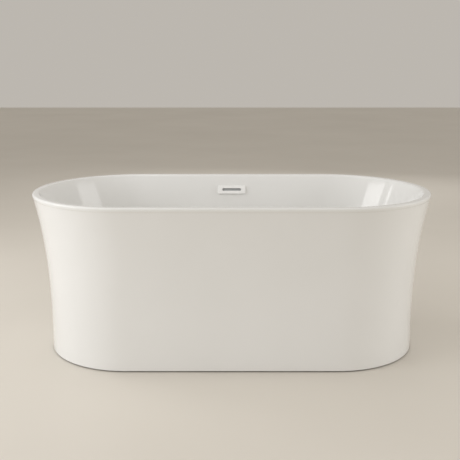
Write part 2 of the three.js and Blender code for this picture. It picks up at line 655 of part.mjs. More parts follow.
// ---------------------------------------------------------------- overflow hose
function makeHose() {
  const atTop = new Vector3(0, hoseAxisY, spigotEnd - GAP).applyMatrix4(overflowFrame.matrix);
  const down = new Vector3(0, 0, -1).transformDirection(overflowFrame.matrix);
  const atBody = new Vector3(0, hose.spigotReach + GAP, inletHeight);
  const out = new Vector3(0, 1, 0);
  const bendTop = atTop.clone().addScaledVector(down, hose.nutLength);
  const bendLow = atBody.clone().addScaledVector(out, hose.nutLength);
  const route = new THREE.CurvePath();
  route.add(new THREE.LineCurve3(atTop, bendTop));
  route.add(new THREE.CubicBezierCurve3(
    bendTop,
    bendTop.clone().addScaledVector(down, hose.bendShare * (bendTop.z - bendLow.z)),
    bendLow.clone().addScaledVector(out, hose.bendShare * (bendTop.y - bendLow.y)),
    bendLow,
  ));
  route.add(new THREE.LineCurve3(bendLow, atBody));
  const section = new THREE.Shape().absarc(0, 0, hose.outerRadius, 0, 2 * Math.PI);
  section.holes.push(new THREE.Path().absarc(0, 0, hose.outerRadius - hose.wall, 0, 2 * Math.PI, true));
  const steps = 34;
  const options = { steps, extrudePath: route, curveSegments: 5, bevelEnabled: false };
  add('overflow_hose', materials.pipePlastic, new THREE.ExtrudeGeometry(section, options));

  const half = hose.nutLength / 2;
  const nut = () => turnedRing(hose.outerRadius + hose.nutClearance, nutRadius, -half, half);
  add('hose_nut_top', materials.pipePlastic, nut(), overflowFrame).position.set(0, hoseAxisY, spigotEnd);
  add('hose_nut_bottom', materials.pipePlastic, alongY(nut())).position.set(0, hose.spigotReach, inletHeight);
}

// ---------------------------------------------------------------- trap
const lidSpigotTop = outletLow - GAP;
const lidTop = lidSpigotTop - trap.spigotReach;
const lidLow = lidTop - trap.lidThickness;
const cupTop = lidLow - GAP;
const dipLow = trap.floorClearance + trap.wall + trap.dipClearance;
const outletAxis = cupTop - trap.outletRadius - GAP;
const outletBore = trap.outletRadius - trap.wall;

function makeTrap() {
  const nutLow = lidTop + 2 * GAP;
  const unionNut = turnedRing(waste.outletRadius + GAP, trap.nutRadius, nutLow, nutLow + trap.nutLength);
  add('trap_union_nut', materials.pipePlastic, unionNut);
  add('trap_lid', materials.pipePlastic, turned([
    [outletInner, lidSpigotTop], [waste.outletRadius, lidSpigotTop], [waste.outletRadius, lidTop],
    [trap.cupRadius, lidTop], [trap.cupRadius, lidLow], [trap.dipRadius, lidLow],
    [trap.dipRadius, dipLow], [outletInner, dipLow], [outletInner, lidSpigotTop],
  ]));

  // The small high hole in the cup's wall is the weir that keeps water standing above the dip tube's end.
  const along = (radius, low, high, z) => alongX(rod(radius, low, high)).translate(0, 0, z);
  const spigot = along(trap.outletRadius, 0, trap.outletReach, outletAxis);
  const cup = joined(rod(trap.cupRadius, trap.floorClearance, cupTop), spigot);
  const room = rod(trap.cupRadius - trap.wall, trap.floorClearance + trap.wall, cupTop + PAST);
  const bore = along(outletBore, trap.cupRadius + trap.weirSetback, trap.outletReach + PAST, outletAxis);
  const weir = along(trap.weirRadius, 0, trap.cupRadius + 2 * trap.weirSetback, outletAxis + trap.weirRise);
  add('trap_cup', materials.pipePlastic, cut(cup, room, bore, weir));

  const pipeStart = trap.outletReach + GAP;
  const pipe = alongX(turnedRing(outletBore, trap.outletRadius, pipeStart, trap.pipeEnd));
  add('outlet_pipe', materials.pipePlastic, pipe).position.z = outletAxis;
  const half = trap.outletNutLength / 2;
  const nut = alongX(turnedRing(trap.outletRadius + GAP, trap.outletNutRadius, -half, half));
  add('outlet_nut', materials.pipePlastic, nut).position.set(trap.outletReach, 0, outletAxis);
}

makeShells();
makeBoard();
makeFrame();
makeBrackets();
makeFeet();
makeDrain();
makePlug();
makeOverflowFace();
makeChannel();
makeHose();
makeTrap();

export default bath;
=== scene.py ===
"""Freestanding bathtub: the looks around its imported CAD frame. Metres, +Z up, the same frame as the CAD. The
sections that pieces are turned from are given in millimetres."""
import json
from math import ceil, cos, pi, radians, sin, sqrt, tan

import bmesh
import bpy
from mathutils import Matrix, Vector


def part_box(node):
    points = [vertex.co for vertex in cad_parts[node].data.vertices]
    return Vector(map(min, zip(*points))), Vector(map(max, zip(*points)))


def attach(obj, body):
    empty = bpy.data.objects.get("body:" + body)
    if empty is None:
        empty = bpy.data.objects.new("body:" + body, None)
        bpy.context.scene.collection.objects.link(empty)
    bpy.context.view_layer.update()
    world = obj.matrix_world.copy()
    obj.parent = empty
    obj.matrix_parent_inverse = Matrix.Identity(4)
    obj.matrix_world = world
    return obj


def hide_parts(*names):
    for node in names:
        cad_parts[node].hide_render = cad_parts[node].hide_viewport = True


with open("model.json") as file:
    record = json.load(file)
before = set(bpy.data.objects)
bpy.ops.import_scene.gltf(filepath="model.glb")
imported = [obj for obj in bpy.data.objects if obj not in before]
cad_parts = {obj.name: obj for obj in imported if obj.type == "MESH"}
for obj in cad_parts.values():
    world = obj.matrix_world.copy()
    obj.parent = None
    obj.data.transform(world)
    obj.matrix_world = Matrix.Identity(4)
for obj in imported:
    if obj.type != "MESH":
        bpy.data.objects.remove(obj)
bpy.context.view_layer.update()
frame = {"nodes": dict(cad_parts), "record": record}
scene = bpy.context.scene
MM = 0.001

# ------------------------------------------------------------------ sizes
GAP = 0.3 * MM  # between touching pieces
EASE_INSET = 0.2 * MM  # the small round on a trimmed edge of a shell
EASE_HEIGHT = 0.3 * MM

BASIN_LOW, BASIN_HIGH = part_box("basin_shell")
LENGTH = BASIN_HIGH.x - BASIN_LOW.x
WIDTH = BASIN_HIGH.y - BASIN_LOW.y
HEIGHT = BASIN_HIGH.z

RIM_TOP_WIDTH = 20 * MM
RIM_OUTER_RADIUS = 7 * MM
RIM_INNER_RADIUS = 8 * MM
LIP_BOTTOM = HEIGHT - 16 * MM

SKIRT_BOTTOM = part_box("outer_skirt")[0].z
SKIRT_TOP = LIP_BOTTOM - GAP
SKIRT_WALL = 5 * MM
FLARE = 58 * MM
FLARE_POWER = 2.7
EDGE_HEIGHT = HEIGHT - RIM_OUTER_RADIUS

BASIN_WALL = 6 * MM
FLOOR_HEIGHT = 175 * MM
DISH_HEIGHT = FLOOR_HEIGHT - 3 * MM
SEAT_HEIGHT = DISH_HEIGHT - 3 * MM
HOLE_RADIUS = 26 * MM
SEAT_RADIUS = 38 * MM
RECESS_RADIUS = 40 * MM
DISH_RADIUS = 62 * MM
END_SLOPE = radians(22)
SIDE_SLOPE = radians(13)
END_FILLET = 150 * MM
SIDE_FILLET = 110 * MM

BOND_THICKNESS = 2.8 * MM
BOARD_CLEARANCE = 13 * MM  # round the dish over the drain
BOARD_EDGE = 1.5 * MM

OPENING_WIDTH = 98 * MM
OPENING_HEIGHT = 16 * MM
OVERFLOW_DROP = 63 * MM  # from the top of the rim to the middle of the overflow


# ------------------------------------------------------------------ camera
LENS = 57.96
SHIFT = (-0.0036, -0.1304)
CAMERA_PLACE = (0, -2.7878, 1.0908)
CAMERA_DIP = radians(8.54)


def make_camera():
    data = bpy.data.cameras.new("camera")
    data.sensor_width = 36
    data.lens = LENS
    data.shift_x, data.shift_y = SHIFT
    camera = bpy.data.objects.new("camera", data)
    camera.location = CAMERA_PLACE
    camera.rotation_euler = (pi / 2 - CAMERA_DIP, 0, 0)
    scene.collection.objects.link(camera)
    scene.camera = camera


# ------------------------------------------------------------------ node helpers
class Nodes:
    """A short way to build one material's node tree."""

    def __init__(self, name):
        self.material = bpy.data.materials.new(name)
        self.material.use_nodes = True
        self.tree = self.material.node_tree
        self.shader = self.tree.nodes["Principled BSDF"]
        self.place = self.new("ShaderNodeTexCoord").outputs["Object"]

    def new(self, kind, **settings):
        node = self.tree.nodes.new(kind)
        for key, value in settings.items():
            setattr(node, key, value)
        return node

    def link(self, source, target):
        self.tree.links.new(source, target)

    def set(self, **values):
        """Sets the shader's own sockets; an underscore stands for a space."""
        for key, value in values.items():
            self.shader.inputs[key.replace("_", " ")].default_value = value

    def stretched(self, scale):
        """The object's coordinates, stretched."""
        node = self.new("ShaderNodeMapping")
        node.inputs["Scale"].default_value = scale
        self.link(self.place, node.inputs["Vector"])
        return node.outputs["Vector"]

    def noise(self, scale, detail=3.0, roughness=0.5, vector=None):
        node = self.new("ShaderNodeTexNoise")
        node.inputs["Scale"].default_value = scale
        node.inputs["Detail"].default_value = detail
        node.inputs["Roughness"].default_value = roughness
        self.link(vector or self.place, node.inputs["Vector"])
        return node.outputs["Fac"]

    def cells(self, scale, output="Color"):
        node = self.new("ShaderNodeTexVoronoi")
        node.inputs["Scale"].default_value = scale
        self.link(self.place, node.inputs["Vector"])
        return node.outputs[output]

    def ramp(self, source, *stops):
        """Colours between (position, colour) stops."""
        node = self.new("ShaderNodeValToRGB")
        while len(node.color_ramp.elements) < len(stops):
            node.color_ramp.elements.new(0.5)
        for element, (position, colour) in zip(node.color_ramp.elements, stops):
            element.position = position
            element.color = (*colour, 1)
        self.link(source, node.inputs["Fac"])
        return node.outputs["Color"]

    def span(self, source, low, high):
        """A value from 0..1 spread over low..high."""
        node = self.new("ShaderNodeMapRange")
        node.inputs["To Min"].default_value = low
        node.inputs["To Max"].default_value = high
        self.link(source, node.inputs["Value"])
        return node.outputs["Result"]

    def colour(self, source, *stops):
        """The base colour, between (position, colour) stops."""
        self.link(self.ramp(source, *stops), self.shader.inputs["Base Color"])

    def roughness(self, source, low, high):
        """The roughness, from a value spread over low..high."""
        self.link(self.span(source, low, high), self.shader.inputs["Roughness"])

    def bump(self, *layers):
        """Stacks bump layers of (height, strength, distance)."""
        below = None
        for height, strength, distance in layers:
            node = self.new("ShaderNodeBump")
            node.inputs["Strength"].default_value = strength
            node.inputs["Distance"].default_value = distance
            self.link(height, node.inputs["Height"])
            if below:
                self.link(below, node.inputs["Normal"])
            below = node.outputs["Normal"]
        self.link(below, self.shader.inputs["Normal"])


# ------------------------------------------------------------------ materials
def acrylic():
    """Glossy cast acrylic: warm white, faintly uneven, with a soft waviness in its shine."""
    n = Nodes("acrylic")
    n.colour(n.noise(2.2, 2), (0.3, (0.80, 0.80, 0.785)), (0.7, (0.83, 0.83, 0.82)))
    n.roughness(n.noise(7, 4), 0.08, 0.13)
    n.set(IOR=1.49, Coat_Weight=0.35, Coat_Roughness=0.04)
    n.bump((n.noise(5, 1), 0.10, 0.8 * MM), (n.noise(420, 2), 0.02, 0.05 * MM))
    return n.material


def white_plastic():
    """Glossy moulded plastic, whiter than the tub."""
    n = Nodes("white_plastic")
    n.colour(n.noise(30, 2), (0.3, (0.88, 0.88, 0.87)), (0.7, (0.92, 0.92, 0.91)))
    n.roughness(n.noise(90, 3), 0.16, 0.26)
    n.set(IOR=1.5)
    n.bump((n.noise(600, 2), 0.04, 0.05 * MM))
    return n.material


def chrome():
    """Polished plating with a trace of wiping marks."""
    n = Nodes("chrome")
    n.colour(n.noise(40, 2), (0.2, (0.72, 0.73, 0.75)), (0.8, (0.80, 0.81, 0.82)))
    n.set(Metallic=1.0)
    n.roughness(n.noise(60, 5, 0.7, n.stretched((1, 9, 9))), 0.03, 0.12)
    return n.material


def zinc():
    """Bright zinc plating, slightly cloudy."""
    n = Nodes("zinc")
    n.colour(n.noise(120, 4), (0.3, (0.50, 0.50, 0.47)), (0.7, (0.68, 0.68, 0.66)))
    n.set(Metallic=1.0)
    n.roughness(n.noise(200, 4), 0.22, 0.42)
    n.bump((n.noise(900, 2), 0.08, 0.05 * MM))
    return n.material


def galvanised():
    """Hot-dipped steel strip with crystal spangles."""
    n = Nodes("galvanised")
    spangles = n.cells(110, "Distance")
    n.colour(spangles, (0.0, (0.36, 0.37, 0.38)), (0.8, (0.60, 0.61, 0.62)))
    n.set(Metallic=0.9)
    n.roughness(spangles, 0.30, 0.55)
    n.bump((n.noise(300, 3), 0.1, 0.1 * MM))
    return n.material


def plywood():
    """Sealed birch ply: long grain on the faces, and the veneers' lines in relief on the edge."""
    n = Nodes("plywood")
    grain = n.noise(9, 6, 0.62, n.stretched((1.2, 16, 3)))
    n.colour(grain, (0.25, (0.42, 0.26, 0.12)), (0.5, (0.58, 0.40, 0.21)), (0.8, (0.68, 0.50, 0.29)))
    n.roughness(grain, 0.5, 0.75)
    veneers = n.new("ShaderNodeTexWave", bands_direction="Z")
    veneers.inputs["Scale"].default_value = 110
    veneers.inputs["Distortion"].default_value = 0.6
    n.link(n.place, veneers.inputs["Vector"])
    n.bump((grain, 0.25, 0.3 * MM), (veneers.outputs["Fac"], 0.25, 0.3 * MM))
    return n.material


def resin():
    """Cured laminating resin with glass strands in it."""
    n = Nodes("resin")
    strands = n.noise(60, 6, 0.7, n.stretched((1, 1, 6)))
    n.colour(strands, (0.3, (0.52, 0.47, 0.33)), (0.7, (0.74, 0.71, 0.60)))
    n.roughness(strands, 0.35, 0.8)
    n.bump((strands, 0.5, 0.6 * MM))
    return n.material


def moulded(name, dark, light, low, high, grain):
    """A plain moulded plastic with a fine tool texture."""
    n = Nodes(name)
    n.colour(n.noise(45, 3), (0.3, dark), (0.7, light))
    n.roughness(n.noise(160, 4), low, high)
    n.bump((n.noise(grain, 3), 0.12, 0.1 * MM))
    return n.material


def rubber():
    """Matt black sealing rubber with a pale bloom."""
    n = Nodes("rubber")
    n.colour(n.noise(70, 5), (0.3, (0.018, 0.018, 0.019)), (0.8, (0.05, 0.05, 0.052)))
    n.roughness(n.noise(180, 4), 0.6, 0.85)
    n.bump((n.noise(700, 3), 0.2, 0.1 * MM))
    return n.material


def floor_finish():
    """A plain pale stone-coloured floor."""
    n = Nodes("floor_finish")
    n.colour(n.noise(0.7, 3), (0.3, (0.67, 0.63, 0.565)), (0.7, (0.71, 0.67, 0.605)))
    n.roughness(n.noise(3, 3), 0.45, 0.55)
    return n.material


MATERIALS = {
    "acrylic": acrylic(),
    "white_plastic": white_plastic(),
    "chrome": chrome(),
    "zinc": zinc(),
    "steel": galvanised(),
    "plywood": plywood(),
    "bond": resin(),
    "grey_plastic": moulded("grey_plastic", (0.47, 0.485, 0.49), (0.52, 0.535, 0.54), 0.42, 0.6, 800),
    "pipe_plastic": moulded("pipe_plastic", (0.74, 0.74, 0.71), (0.80, 0.80, 0.78), 0.28, 0.42, 500),
    "rubber": rubber(),
}
SLOT_OF = {row["node"]: row["material_slot"] for row in frame["record"]["subparts"]}
BODY_OF = {node: body for body, nodes in frame["record"]["behaviour"]["bodies"].items() for node in nodes}


# ------------------------------------------------------------------ mesh helpers
def piece_from(name, points, faces, node, sharp=radians(35), raw_faces=()):
    """A smooth-shaded piece that stands for one CAD node, in that node's finish and on its body. Its raw
    faces are the unfinished side of a laminate."""
    mesh = bpy.data.meshes.new(name)
    mesh.from_pydata([tuple(p) for p in points], [], faces)
    mesh.materials.append(MATERIALS[SLOT_OF[node]])
    if raw_faces:
        mesh.materials.append(MATERIALS["bond"])
    for i in raw_faces:
        mesh.polygons[i].material_index = 1
    shape = bmesh.new()
    shape.from_mesh(mesh)
    bmesh.ops.remove_doubles(shape, verts=shape.verts, dist=1e-6)
    bmesh.ops.recalc_face_normals(shape, faces=shape.faces)
    shape.to_mesh(mesh)
    shape.free()
    mesh.polygons.foreach_set("use_smooth", [True] * len(mesh.polygons))
    mesh.set_sharp_from_angle(angle=sharp)
    piece = bpy.data.objects.new(name, mesh)
    scene.collection.objects.link(piece)
    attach(piece, BODY_OF[node])
    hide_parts(node)
    return piece


def ring_faces(rings, closed=False):
    """Quads between rings of equal length; closed joins the last ring to the first."""
    count = len(rings[0])
    faces = []
    for i in range(len(rings) if closed else len(rings) - 1):
        here, after = i * count, (i + 1) % len(rings) * count
        for j in range(count):
            k = (j + 1) % count
            faces.append((here + j, here + k, after + k, after + j))
    return faces


def loft(name, rings, node, closed=False, sharp=radians(35), raw_faces=()):
    """A piece through rings of points; open lofts get flat caps."""
    points = [p for ring in rings for p in ring]
    faces = ring_faces(rings, closed)
    if not closed:
        count = len(rings[0])
        faces.append(tuple(range(count)))
        faces.append(tuple(range(len(points) - count, len(points))))
    return piece_from(name, points, faces, node, sharp, raw_faces)


def in_metres(section):
    """The (radius, height) points of a section given in mm."""
    return [Vector(p) * MM for p in section]


def turned(name, profile, place, node, segments=72, radius_at=None):
    """A piece turned about the Z axis of place, a Matrix, from (radius, height) points. They close on
    themselves, or start and end on the axis. radius_at(radius, height, angle) may shape the radius."""
    rings = []
    for radius, height in profile:
        ring = []
        for j in range(segments):
            angle = 2 * pi * j / segments
            r = radius_at(radius, height, angle) if radius_at else radius
            ring.append(place @ Vector((r * cos(angle), r * sin(angle), height)))
        rings.append(ring)
    on_axis = profile[0][0] == 0
    return loft(name, rings, node, closed=not on_axis)


CORNER_STEPS = 3


def rounded(section, radius):
    """A section given in mm, in metres with its corners rounded. It closes on itself, unless it starts on the
    axis: then its ends stay sharp."""
    corners = in_metres(section)
    open_ended = corners[0].x == 0
    longest = 0.45  # of the shorter side that meets at a corner
    smooth = []
    for i, corner in enumerate(corners):
        before, after = corners[i - 1], corners[(i + 1) % len(corners)]
        if open_ended and i in (0, len(corners) - 1):
            smooth.append(corner)
            continue
        to_before, to_after = before - corner, after - corner
        reach = min(radius * MM, longest * to_before.length, longest * to_after.length)
        start = corner + to_before.normalized() * reach
        end = corner + to_after.normalized() * reach
        for k in range(CORNER_STEPS + 1):
            t = k / CORNER_STEPS
            smooth.append(start * (1 - t) ** 2 + corner * 2 * t * (1 - t) + end * t ** 2)
    return smooth


def ring_outline(inner, outer, low, high):
    """The section of a plain ring, in mm."""
    return [(inner, low), (outer, low), (outer, high), (inner, high)]


def rows(radius, low, high, step):
    """Points up a straight wall, in mm, close enough together to carry a thread."""
    count = ceil((high - low) / step)
    return [(radius, low + (high - low) * i / count) for i in range(count + 1)]


def threaded(outer, pitch, depth, low, high):
    """Cuts a single-start thread into rows at the outer radius, between two heights. All in mm."""
    tolerance = 0.01 * MM

    def radius_at(radius, height, angle):
        if abs(radius - outer * MM) > tolerance or not low * MM < height < high * MM:
            return radius
        phase = (height / (pitch * MM) - angle / (2 * pi)) % 1
        return radius - depth * MM * abs(2 * phase - 1)
    return radius_at


def hexed(flats):
    """Trims a turned piece to a hexagon with corners on its X axis."""
    def radius_at(radius, height, angle):
        return min(radius, flats / 2 / cos(angle % (pi / 3) - pi / 6))
    return radius_at


def gripped(outer, count, depth):
    """Presses grip flutes into the widest part of a turned piece. Radius and depth in mm."""
    band = 1.2  # how far inside the outer radius the flutes still reach

    def radius_at(radius, height, angle):
        if radius < (outer - band) * MM:
            return radius
        return radius - depth * MM * (0.5 + 0.5 * cos(count * angle)) ** 2
    return radius_at


def upright(node):
    """The axis of an upright node, with its lowest point at height 0."""
    low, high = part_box(node)
    return Matrix.Translation(((low.x + high.x) / 2, (low.y + high.y) / 2, low.z))


def middle(node):
    low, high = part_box(node)
    return (low + high) / 2


def size_of(node):
    """How far a node reaches along X, Y and Z, in mm."""
    low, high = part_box(node)
    return (high - low) / MM


ALONG_X = Matrix.Rotation(pi / 2, 4, "Y")
ALONG_Y = Matrix.Rotation(-pi / 2, 4, "X")


# ------------------------------------------------------------------ the two shells
CAP_STEPS = 56
SIDE_STEPS = 20


def outline_places():
    """Where each point of an outline sits: (share of the straight half length, angle round the end)."""
    places = [(1, -pi / 2 + pi * i / CAP_STEPS) for i in range(CAP_STEPS + 1)]
    places += [(1 - 2 * i / SIDE_STEPS, pi / 2) for i in range(1, SIDE_STEPS)]
    places += [(-1, pi / 2 + pi * i / CAP_STEPS) for i in range(CAP_STEPS + 1)]
    places += [(2 * i / SIDE_STEPS - 1, 3 * pi / 2) for i in range(1, SIDE_STEPS)]
    return places


PLACES = outline_places()


def outline(levels, i, offset):
    """Level i's outline (half length, half width, height), moved by offset along the surface normal."""
    a, b, z = levels[i]
    before, after = levels[max(i - 1, 0)], levels[min(i + 1, len(levels) - 1)]
    da, db, dz = (after[k] - before[k] for k in range(3))
    points = []
    for share, angle in PLACES:
        around = Vector((-sin(angle), cos(angle), 0))
        along = Vector((share * (da - db) + db * cos(angle), db * sin(angle), dz))
        normal = around.cross(along).normalized()
        points.append(Vector((share * (a - b) + b * cos(angle), b * sin(angle), z)) + normal * offset)
    return points


def shell(name, levels, offset_a, offset_b, node):
    """A closed band between the surfaces at two offsets from the levels. The second one is the raw side."""
    rings = [outline(levels, i, offset_a) for i in range(len(levels))]
    rings += [outline(levels, i, offset_b) for i in reversed(range(len(levels)))]
    raw = range(len(levels) * len(PLACES), (2 * len(levels) - 1) * len(PLACES))
    return loft(name, rings, node, closed=True, sharp=radians(30), raw_faces=raw)


def outside_level(z, inset=0.0):
    """The flared outside at height z."""
    proud = FLARE * min(z / EDGE_HEIGHT, 1) ** FLARE_POWER - FLARE - inset
    return (LENGTH / 2 + proud, WIDTH / 2 + proud, z)


def inside_half(z, outer_half, slope, fillet):
    """Half the basin's inside extent at height z: rounded edge, leaning wall, fillet into the floor."""
    edge = outer_half - RIM_TOP_WIDTH
    wall_top = HEIGHT - RIM_INNER_RADIUS * (1 - sin(slope))
    wall_foot = FLOOR_HEIGHT + fillet * (1 - sin(slope))

    def wall(height):
        return edge - RIM_INNER_RADIUS * cos(slope) - (wall_top - height) * tan(slope)

    if z > wall_top:
        return edge - sqrt(max(RIM_INNER_RADIUS ** 2 - (z - HEIGHT + RIM_INNER_RADIUS) ** 2, 0))
    if z > wall_foot:
        return wall(z)
    drop = FLOOR_HEIGHT + fillet - z
    return wall(wall_foot) - fillet * cos(slope) + sqrt(max(fillet ** 2 - drop ** 2, 0))


def inside_level(z):
    half_length = inside_half(z, LENGTH / 2, END_SLOPE, END_FILLET)
    half_width = inside_half(z, WIDTH / 2, SIDE_SLOPE, SIDE_FILLET)
    return (half_length, half_width, z)


def floor_levels():
    """The drain's seat, the round dish over it, and the floor that falls to the dish."""
    levels = [(HOLE_RADIUS, HOLE_RADIUS, SEAT_HEIGHT), (SEAT_RADIUS, SEAT_RADIUS, SEAT_HEIGHT)]
    dish_steps = 6
    for i in range(1, dish_steps + 1):
        share = i / dish_steps
        radius = RECESS_RADIUS + (DISH_RADIUS - RECESS_RADIUS) * share
        levels.append((radius, radius, SEAT_HEIGHT + (DISH_HEIGHT - SEAT_HEIGHT) * sin(share * pi / 2)))
    floor_a, floor_b, _ = inside_level(FLOOR_HEIGHT)
    floor_steps = 8
    for i in range(1, floor_steps):
        share = i / floor_steps
        a = DISH_RADIUS + (floor_a - DISH_RADIUS) * share
        b = DISH_RADIUS + (floor_b - DISH_RADIUS) * share
        levels.append((a, b, DISH_HEIGHT + (FLOOR_HEIGHT - DISH_HEIGHT) * share))
    return levels


def wall_levels():
    """The fillet round the floor, and the leaning wall over it."""
    levels = []
    fillet_steps = 26
    for i in range(fillet_steps + 1):
        turn = (pi / 2 - END_SLOPE) * i / fillet_steps
        levels.append(inside_level(FLOOR_HEIGHT + END_FILLET * (1 - cos(turn))))
    wall_foot = levels[-1][2]
    wall_top = HEIGHT - RIM_INNER_RADIUS
    wall_steps = 14
    for i in range(1, wall_steps):
        levels.append(inside_level(wall_foot + (wall_top - wall_foot) * i / wall_steps))
    return levels


def rim_levels():
    """The rim's two round edges, and the lip under the outer one."""
    levels = []
    edge_steps = 9
    for i in range(edge_steps + 1):
        turn = SIDE_SLOPE + (pi / 2 - SIDE_SLOPE) * i / edge_steps
        levels.append(inside_level(HEIGHT - RIM_INNER_RADIUS * (1 - sin(turn))))
    for i in range(edge_steps + 1):
        turn = pi / 2 * (1 - i / edge_steps)
        inset = RIM_OUTER_RADIUS * (1 - cos(turn))
        levels.append((LENGTH / 2 - inset, WIDTH / 2 - inset, EDGE_HEIGHT + RIM_OUTER_RADIUS * sin(turn)))
    lip_foot = LIP_BOTTOM + EASE_HEIGHT
    lip_steps = 3
    for i in range(1, lip_steps + 1):
        levels.append(outside_level(EDGE_HEIGHT + (lip_foot - EDGE_HEIGHT) * i / lip_steps))
    levels.append(outside_level(LIP_BOTTOM, EASE_INSET))
    return levels


# ------------------------------------------------------------------ joining and cutting
def tool_from(points, faces):
    """A closed mesh that only serves to join or cut."""
    mesh = bpy.data.meshes.new("tool")
    mesh.from_pydata([tuple(p) for p in points], [], faces)
    shape = bmesh.new()
    shape.from_mesh(mesh)
    bmesh.ops.recalc_face_normals(shape, faces=shape.faces)
    shape.to_mesh(mesh)
    shape.free()
    mesh.polygons.foreach_set("use_smooth", [True] * len(mesh.polygons))
    tool = bpy.data.objects.new("tool", mesh)
    scene.collection.objects.link(tool)
    return tool


def box_tool(low, high, place):
    """A box from its low to its high corner in the frame of place."""
    corners = [(x, y, z) for z in (low[2], high[2]) for y in (low[1], high[1]) for x in (low[0], high[0])]
    faces = [(0, 2, 3, 1), (4, 5, 7, 6), (0, 1, 5, 4), (2, 6, 7, 3), (0, 4, 6, 2), (1, 3, 7, 5)]
    return tool_from([place @ Vector(c) for c in corners], faces)


def rod_tool(radius, low, high, place, segments=48):
    """A plain rod about the Z axis of place, between two heights. All in mm."""
    rings = []
    for height in (low, high):
        ring = []
        for j in range(segments):
            angle = 2 * pi * j / segments
            ring.append(place @ (Vector((radius * cos(angle), radius * sin(angle), height)) * MM))
        rings.append(ring)
    points = [p for ring in rings for p in ring]
    caps = [tuple(range(segments)), tuple(range(segments, 2 * segments))]
    return tool_from(points, ring_faces(rings) + caps)


def combine(piece, tool, operation, sharp=radians(35)):
    """Joins a tool to a piece, or cuts it out, for good."""
    boolean = piece.modifiers.new("combine", "BOOLEAN")
    boolean.operation = operation
    boolean.solver = "EXACT"
    boolean.object = tool
    graph = bpy.context.evaluated_depsgraph_get()
    piece.data = bpy.data.meshes.new_from_object(piece.evaluated_get(graph))
    piece.modifiers.clear()
    piece.data.set_sharp_from_angle(angle=sharp)
    bpy.data.objects.remove(tool)


# ------------------------------------------------------------------ shells, bond and board
# The overflow's plane: x along the bath, y out through the back wall, z up the wall, y = 0 on its inner face.
OVERFLOW_HEIGHT = HEIGHT - OVERFLOW_DROP
WALL_Y = inside_level(OVERFLOW_HEIGHT)[1]
OVERFLOW_PLACE = Matrix.Translation((0, WALL_Y, OVERFLOW_HEIGHT)) @ Matrix.Rotation(-SIDE_SLOPE, 4, "X")


def make_basin():
    levels = floor_levels() + wall_levels() + rim_levels()
    basin = shell("basin", levels, 0, BASIN_WALL, "basin_shell")
    half = Vector((OPENING_WIDTH / 2, 2 * BASIN_WALL, OPENING_HEIGHT / 2))
    combine(basin, box_tool(-half, half, OVERFLOW_PLACE), "DIFFERENCE", radians(30))


def make_skirt():
    steps = 48
    edge = 0.8 * MM
    levels = [outside_level(SKIRT_BOTTOM, edge), outside_level(SKIRT_BOTTOM + edge)]
    for i in range(1, steps):
        levels.append(outside_level(SKIRT_BOTTOM + edge + (SKIRT_TOP - 2 * edge - SKIRT_BOTTOM) * i / steps))
    levels.append(outside_level(SKIRT_TOP - EASE_HEIGHT))
    levels.append(outside_level(SKIRT_TOP, EASE_INSET))
    shell("skirt", levels, 0, -SKIRT_WALL, "outer_skirt")


def make_bond():
    """The resin strip behind the seam, which follows the flare."""
    low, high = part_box("rim_bond_strip")
    steps = 8
    levels = []
    for i in range(steps + 1):
        z = low.z + (high.z - low.z) * i / steps
        inset = outside_level(high.z)[0] - outside_level(z)[0]
        levels.append((high.x - inset, high.y - inset, z))
    shell("rim_bond", levels, 0, -BOND_THICKNESS, "rim_bond_strip")


def make_board():
    """The plywood board under the basin: a stadium with eased edges and a round hole for the drain."""
    low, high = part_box("base_board")
    hole = DISH_RADIUS + BOARD_CLEARANCE
    edge = BOARD_EDGE
    half_x, half_y = high.x, high.y
    levels = [(hole, hole, high.z - edge), (hole + edge, hole + edge, high.z)]
    levels += [(half_x - edge, half_y - edge, high.z), (half_x, half_y, high.z - edge)]
    levels += [(half_x, half_y, low.z + edge), (half_x - edge, half_y - edge, low.z)]
    levels += [(hole + edge, hole + edge, low.z), (hole, hole, low.z + edge)]
    rings = [outline(levels, i, 0) for i in range(len(levels))]
    loft("board", rings, "base_board", closed=True)


# ------------------------------------------------------------------ levelling feet
# In mm.
STUD_RADIUS = 6
STUD_HOLE = 6.3
STUD_PITCH = 1.75
STUD_THREAD = 0.9
STUD_PLAIN = 9  # the unthreaded length that sits in the pad
PAD_RIB = 20  # inner radius of the ring that the pad stands on
PAD_HOLLOW = 0.8
PAD_EDGE = 8
PAD_HEIGHT = 12
PAD_BOSS = 12
PAD_SOCKET = 4
NUT_CHAMFER = 1.3


def make_pad(name):
    """A moulded pad: it stands on an outer ring, and its boss holds the stud."""
    node = f"foot_pad_{name}"
    radius, top = size_of(node).x / 2, size_of(node).z
    section = [(0, PAD_HOLLOW), (PAD_RIB, PAD_HOLLOW), (PAD_RIB + 1.5, 0), (radius, 0), (radius, PAD_EDGE),
               (PAD_BOSS + 2, PAD_HEIGHT), (PAD_BOSS, PAD_HEIGHT + 3), (PAD_BOSS, top), (STUD_HOLE, top),
               (STUD_HOLE, PAD_SOCKET), (0, PAD_SOCKET)]
    turned(f"pad_{name}", rounded(section, 1.4), upright(node), node, 96, gripped(radius, 32, 0.7))


def make_stud(name):
    node = f"foot_stud_{name}"
    length = size_of(node).z
    foot, tip, chamfer = 5.2, 5.1, 1
    shank = rows(STUD_RADIUS, chamfer, length - chamfer, STUD_PITCH / 4)
    section = in_metres([(0, 0), (foot, 0), *shank, (tip, length), (0, length)])
    cut = threaded(STUD_RADIUS, STUD_PITCH, STUD_THREAD, STUD_PLAIN, length - chamfer - 0.2)
    turned(f"stud_{name}", section, upright(node), node, 24, cut)


